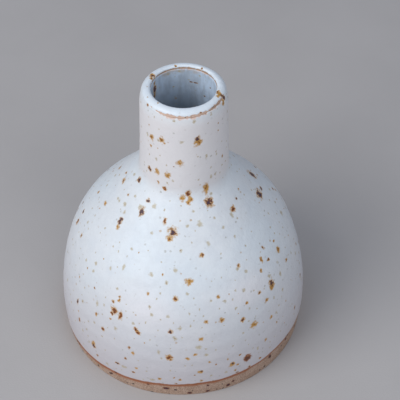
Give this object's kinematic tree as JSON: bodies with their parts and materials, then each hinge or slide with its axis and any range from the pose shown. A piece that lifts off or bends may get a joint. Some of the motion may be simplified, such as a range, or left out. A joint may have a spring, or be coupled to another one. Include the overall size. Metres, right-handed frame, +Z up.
{
  "type": "bud vase",
  "caption": "Small hand-thrown stoneware bud vase with a domed hollow body, a straight neck, a speckled pale glaze and a bare clay foot.",
  "frame": {"origin": "centre of the foot, on the surface that the vase stands on", "axes": "+Z up along the pot's axis, through the mouth; -Y is the side seen first, and +X is to its right"},
  "size_m": [0.1, 0.1, 0.1195],
  "materials": {
    "bare_clay": "unglazed stoneware with dark iron specks, dry and matte",
    "clay_body": "fired stoneware under the glaze",
    "outer_glaze": "satin bluish-white glaze with amber and brown iron speckles",
    "lip_glaze": "satin bluish-white glaze",
    "liner_glaze": "satin blue-grey liner glaze"
  },
  "bodies": {
    "root": {"base": "bare_clay", "belly_wall": "clay_body", "neck_collar": "clay_body", "outer_glaze": "outer_glaze", "lip_glaze": "lip_glaze", "liner_glaze": "liner_glaze"}
  },
  "joints": []
}
